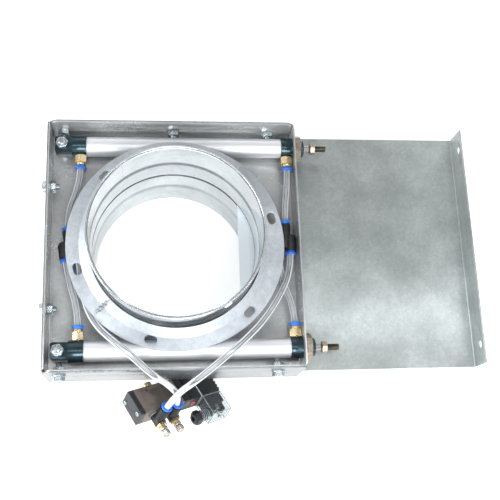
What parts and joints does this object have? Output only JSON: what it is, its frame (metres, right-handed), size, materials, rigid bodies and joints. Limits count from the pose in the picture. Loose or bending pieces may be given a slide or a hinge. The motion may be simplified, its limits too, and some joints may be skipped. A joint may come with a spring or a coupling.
{
  "type": "pneumatic blast gate",
  "caption": "Round-duct blast gate with a sliding sheet blade, twin air cylinders, loose flange rings and a solenoid valve hung on clear air tubes.",
  "frame": {"origin": "duct axis at the front plate's upper face, where the front spigot starts", "axes": "+Z along the duct axis out of the front spigot, +X the way the blade pulls out, +Y toward the upper cylinder"},
  "size_m": [0.5294, 0.385, 0.1745],
  "materials": {
    "galvanised_sheet": "galvanised sheet, half bright",
    "zinc_ring": "dull zinc",
    "anodised_tube": "clear anodised, satin",
    "black_cap": "black anodised, gloss",
    "plated_nut": "yellow-brown plated",
    "bright_rod": "ground and polished",
    "zinc_fastener": "blue-white zinc plated",
    "bronze_bush": "sintered bronze",
    "black_rubber": "matte",
    "brass": "turned",
    "blue_collar": "gloss",
    "black_plastic": "fine satin",
    "valve_metal": "brown-grey anodised",
    "nickel_knob": "nickel plated, knurled",
    "red_plastic": "gloss",
    "clear_plastic": "clear moulded plastic",
    "clear_tube": "clear flexible tube"
  },
  "bodies": {
    "housing": {"front_tray": "galvanised_sheet", "rear_tray": "galvanised_sheet", "side_wrapper": "galvanised_sheet", "slot_spacer": "galvanised_sheet", "front_spigot": "galvanised_sheet", "rear_spigot": "galvanised_sheet", "upper_barrel": "anodised_tube", "lower_barrel": "anodised_tube", "upper_rear_cap": "black_cap", "upper_front_cap": "black_cap", "lower_rear_cap": "black_cap", "lower_front_cap": "black_cap", "nose_nuts": "plated_nut", "wall_bolts": "zinc_fastener", "wall_nuts": "zinc_fastener", "clevis_studs": "zinc_fastener", "clevis_nuts": "zinc_fastener", "clevis_spacers": "zinc_fastener", "end_cap_screws": "zinc_fastener", "plug_screw": "zinc_fastener", "coil_nut": "zinc_fastener", "rod_bushes": "bronze_bush", "rod_seals": "black_rubber", "gland_seal": "black_rubber", "port_fittings": "brass", "inlet_adapter": "brass", "controller_stems": "brass", "port_collars": "blue_collar", "union_collars": "blue_collar", "controller_collars": "blue_collar", "left_union": "black_plastic", "right_union": "black_plastic", "valve_end_cap": "black_plastic", "valve_pilot": "black_plastic", "solenoid_coil": "black_plastic", "controller_bodies": "black_plastic", "terminal_block": "black_plastic", "gland_nut": "black_plastic", "valve_body": "valve_metal", "controller_lock_nuts": "nickel_knob", "plug_housing": "clear_plastic", "upper_left_tube": "clear_tube", "lower_left_tube": "clear_tube", "left_valve_tube": "clear_tube", "upper_right_tube": "clear_tube", "lower_right_tube": "clear_tube", "right_valve_tube": "clear_tube"},
    "blade": {"blade": "galvanised_sheet"},
    "upper_rod": {"upper_rod": "bright_rod", "upper_piston": "bright_rod", "upper_rod_nut": "plated_nut"},
    "lower_rod": {"lower_rod": "bright_rod", "lower_piston": "bright_rod", "lower_rod_nut": "plated_nut"},
    "front_ring": {"front_flange_ring": "zinc_ring"},
    "rear_ring": {"rear_flange_ring": "zinc_ring"},
    "knob_a": {"needle_knob_a": "nickel_knob"},
    "knob_b": {"needle_knob_b": "nickel_knob"},
    "button": {"override_button": "red_plastic"},
    "spool": {"spool": "bright_rod"}
  },
  "joints": [
    {"name": "blade_slide", "type": "slide", "parent": "housing", "child": "blade", "axis": [1, 0, 0], "range_m": [-0.19, 0]},
    {"name": "upper_rod_slide", "type": "slide", "parent": "housing", "child": "upper_rod", "axis": [1, 0, 0], "range_m": [0, 0.19]},
    {"name": "lower_rod_slide", "type": "slide", "parent": "housing", "child": "lower_rod", "axis": [1, 0, 0], "range_m": [0, 0.19]},
    {"name": "front_ring_turn", "type": "hinge", "parent": "housing", "child": "front_ring", "pos_m": [0.0012, -0.0016, 0.0355], "axis": [0, 0, 1], "continuous": true},
    {"name": "rear_ring_turn", "type": "hinge", "parent": "housing", "child": "rear_ring", "pos_m": [0, 0, -0.078], "axis": [0, 0, 1], "continuous": true},
    {"name": "needle_a_turn", "type": "hinge", "parent": "housing", "child": "knob_a", "pos_m": [-0.01276, -0.21775, -0.0147], "axis": [0.4663, -0.8288, 0.3094], "range_deg": [0, 2520]},
    {"name": "needle_b_turn", "type": "hinge", "parent": "housing", "child": "knob_b", "pos_m": [0.00373, -0.21213, -0.02451], "axis": [0.4663, -0.8288, 0.3094], "range_deg": [0, 2520]},
    {"name": "override_press", "type": "slide", "parent": "housing", "child": "button", "axis": [-0.4663, 0.8288, -0.3094], "range_m": [0, 0.0015], "stiffness_N_per_m": 300, "springref_m": -0.001},
    {"name": "spool_shift", "type": "slide", "parent": "housing", "child": "spool", "axis": [-0.8247, -0.2808, 0.4909], "range_m": [0, 0.0035]}
  ],
  "couplings": [
    {"joint": "lower_rod_slide", "follows": "upper_rod_slide", "ratio": 1}
  ]
}
